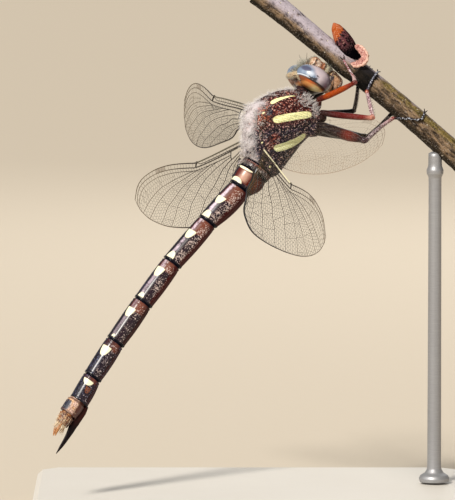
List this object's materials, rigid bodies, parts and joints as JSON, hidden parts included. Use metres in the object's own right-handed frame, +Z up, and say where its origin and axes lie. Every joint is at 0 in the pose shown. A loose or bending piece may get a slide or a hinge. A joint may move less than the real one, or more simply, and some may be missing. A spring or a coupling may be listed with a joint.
{
  "type": "dragonfly model",
  "caption": "Life-size still model of a spiketail dragonfly with spread clear wings and a long spotted abdomen, gripping a cut twig on a flat display stand.",
  "frame": {"origin": "centre of the underside of the stand's plate", "axes": "+Z up; +X toward the low end of the twig, the head's side; -Y toward the insect's right side; the body climbs toward +X, +Z"},
  "size_m": [0.0641, 0.0824, 0.0773],
  "materials": {
    "shell_brown": "dark red-brown shell with paler stripes and short hair",
    "abdomen_shell": "glossy black-brown shell with cream spots",
    "tail_tan": "tan and orange-brown shell",
    "face_orange": "orange-brown shell",
    "face_tan": "tan shell",
    "eye": "glossy grey-blue",
    "dark_shell": "glossy near-black shell",
    "femur_front": "orange-brown shell",
    "femur_brown": "dark red-brown shell",
    "wing": "clear membrane with dark veins",
    "bark": "grey-olive bark",
    "bud": "dark bud scales",
    "stand_plate": "satin off-white",
    "stand_rod": "brushed"
  },
  "bodies": {
    "root": {"thorax": "shell_brown", "prothorax": "shell_brown", "head": "shell_brown", "abdomen_s1": "abdomen_shell", "abdomen_s2": "abdomen_shell", "abdomen_s3": "abdomen_shell", "abdomen_s4": "abdomen_shell", "abdomen_s5": "abdomen_shell", "abdomen_s6": "abdomen_shell", "abdomen_s7": "abdomen_shell", "abdomen_s8": "abdomen_shell", "abdomen_s9": "tail_tan", "abdomen_s10": "tail_tan", "face": "face_orange", "labrum": "face_tan", "mouthparts": "face_tan", "eye_right": "eye", "eye_left": "eye", "antenna_right": "dark_shell", "antenna_left": "dark_shell", "cercus_right": "tail_tan", "cercus_left": "tail_tan", "ovipositor": "dark_shell", "forewing_right": "wing", "forewing_left": "wing", "hindwing_right": "wing", "hindwing_left": "wing", "femur_front_right": "femur_front", "tibia_front_right": "dark_shell", "tarsus_front_right": "dark_shell", "femur_front_left": "femur_front", "tibia_front_left": "dark_shell", "tarsus_front_left": "dark_shell", "femur_mid_right": "femur_brown", "tibia_mid_right": "dark_shell", "tarsus_mid_right": "dark_shell", "femur_mid_left": "femur_brown", "tibia_mid_left": "dark_shell", "tarsus_mid_left": "dark_shell", "femur_hind_right": "femur_brown", "tibia_hind_right": "dark_shell", "tarsus_hind_right": "dark_shell", "femur_hind_left": "femur_brown", "tibia_hind_left": "dark_shell", "tarsus_hind_left": "dark_shell", "perch_twig": "bark", "perch_bud": "bud", "stand_plate": "stand_plate", "stand_rod": "stand_rod"}
  },
  "joints": []
}
